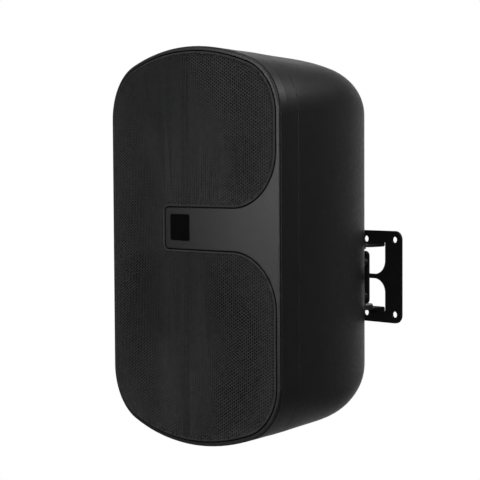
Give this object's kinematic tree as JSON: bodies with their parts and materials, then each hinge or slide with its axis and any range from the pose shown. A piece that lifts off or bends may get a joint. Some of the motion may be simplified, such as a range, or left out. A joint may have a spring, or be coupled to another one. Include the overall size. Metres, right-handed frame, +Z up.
{
  "type": "wall loudspeaker",
  "caption": "Wall loudspeaker: bowed crowned cabinet, C-shaped grille round a plain tab, woofer and tweeter inside, and a swivel bracket with a square wall plate.",
  "frame": {"origin": "centre of the wall plate's back face, on the wall", "axes": "+X right as seen from the front, +Y into the wall, +Z up; the grille faces -Y"},
  "size_m": [0.2398, 0.2627, 0.3828],
  "materials": {
    "black_plastic": "fine grained satin moulding",
    "black_sheet": "powder coated perforated sheet",
    "gloss_badge": "gloss, bare",
    "black_steel": "black powder coat",
    "foam_rubber": "matt",
    "black_zinc": "blackened",
    "brass": "plain",
    "wadding": "fibre",
    "paper_cone": "coated pulp",
    "aluminium_former": "plain foil",
    "copper_wire": "enamelled wire",
    "cloth": "treated cloth",
    "plated_steel": "zinc plated",
    "ferrite": "matt ceramic",
    "moulded_plate": "satin moulding",
    "circuit_board": "lacquered board",
    "capacitor_film": "film",
    "ceramic": "cement",
    "red_lever": "gloss moulding",
    "black_lever": "gloss moulding",
    "dark_nylon": "nylon"
  },
  "bodies": {
    "wall_bracket": {"wall_plate": "black_steel", "pivot_bolts": "black_zinc", "pivot_nuts": "black_zinc", "pivot_washers": "black_zinc", "thrust_washer": "dark_nylon"},
    "speaker": {"rear_shell": "black_plastic", "front_ring": "black_plastic", "cabinet_gasket": "foam_rubber", "baffle": "black_plastic", "grille": "black_sheet", "badge": "gloss_badge", "case_screws": "black_zinc", "damping_pad": "wadding", "swivel_bracket": "black_steel", "bracket_screws": "black_zinc", "bracket_inserts": "brass", "woofer_basket": "black_steel", "woofer_gasket": "foam_rubber", "woofer_surround": "foam_rubber", "woofer_spider": "cloth", "woofer_top_plate": "plated_steel", "woofer_magnet": "ferrite", "woofer_back_plate": "plated_steel", "woofer_tags": "brass", "woofer_screws": "black_zinc", "tweeter_plate": "moulded_plate", "tweeter_surround": "cloth", "tweeter_top_plate": "plated_steel", "tweeter_magnet": "ferrite", "tweeter_back_plate": "plated_steel", "tweeter_screws": "black_zinc", "crossover_board": "circuit_board", "crossover_inductors": "copper_wire", "crossover_capacitors": "capacitor_film", "crossover_resistor": "ceramic", "crossover_screws": "black_zinc", "terminal_cup": "black_plastic", "terminal_contacts": "brass", "terminal_screws": "black_zinc"},
    "woofer_diaphragm": {"woofer_cone": "paper_cone", "woofer_dust_cap": "paper_cone", "woofer_former": "aluminium_former", "woofer_coil": "copper_wire"},
    "tweeter_diaphragm": {"tweeter_dome": "aluminium_former", "tweeter_coil": "copper_wire"},
    "left_lever": {"lever_left": "red_lever"},
    "right_lever": {"lever_right": "black_lever"}
  },
  "joints": [
    {"name": "pan", "type": "hinge", "parent": "wall_bracket", "child": "speaker", "pos_m": [0, -0.0195, 0], "axis": [0, 0, 1], "range_deg": [-45, 45]},
    {"name": "woofer_travel", "type": "slide", "parent": "speaker", "child": "woofer_diaphragm", "axis": [0, -1, 0], "range_m": [-0.004, 0.004], "stiffness_N_per_m": 1000, "deforming": ["woofer_surround", "woofer_spider"]},
    {"name": "tweeter_travel", "type": "slide", "parent": "speaker", "child": "tweeter_diaphragm", "axis": [0, -1, 0], "range_m": [-0.0004, 0.0004], "stiffness_N_per_m": 800, "deforming": ["tweeter_surround"]},
    {"name": "left_lever_press", "type": "hinge", "parent": "speaker", "child": "left_lever", "pos_m": [-0.01075, -0.0477, 0.1064], "axis": [-1, 0, 0], "range_deg": [0, 18], "stiffness_Nm_per_rad": 0.05, "springref_deg": -17.19},
    {"name": "right_lever_press", "type": "hinge", "parent": "speaker", "child": "right_lever", "pos_m": [0.01075, -0.0477, 0.1064], "axis": [-1, 0, 0], "range_deg": [0, 18], "stiffness_Nm_per_rad": 0.05, "springref_deg": -17.19}
  ]
}
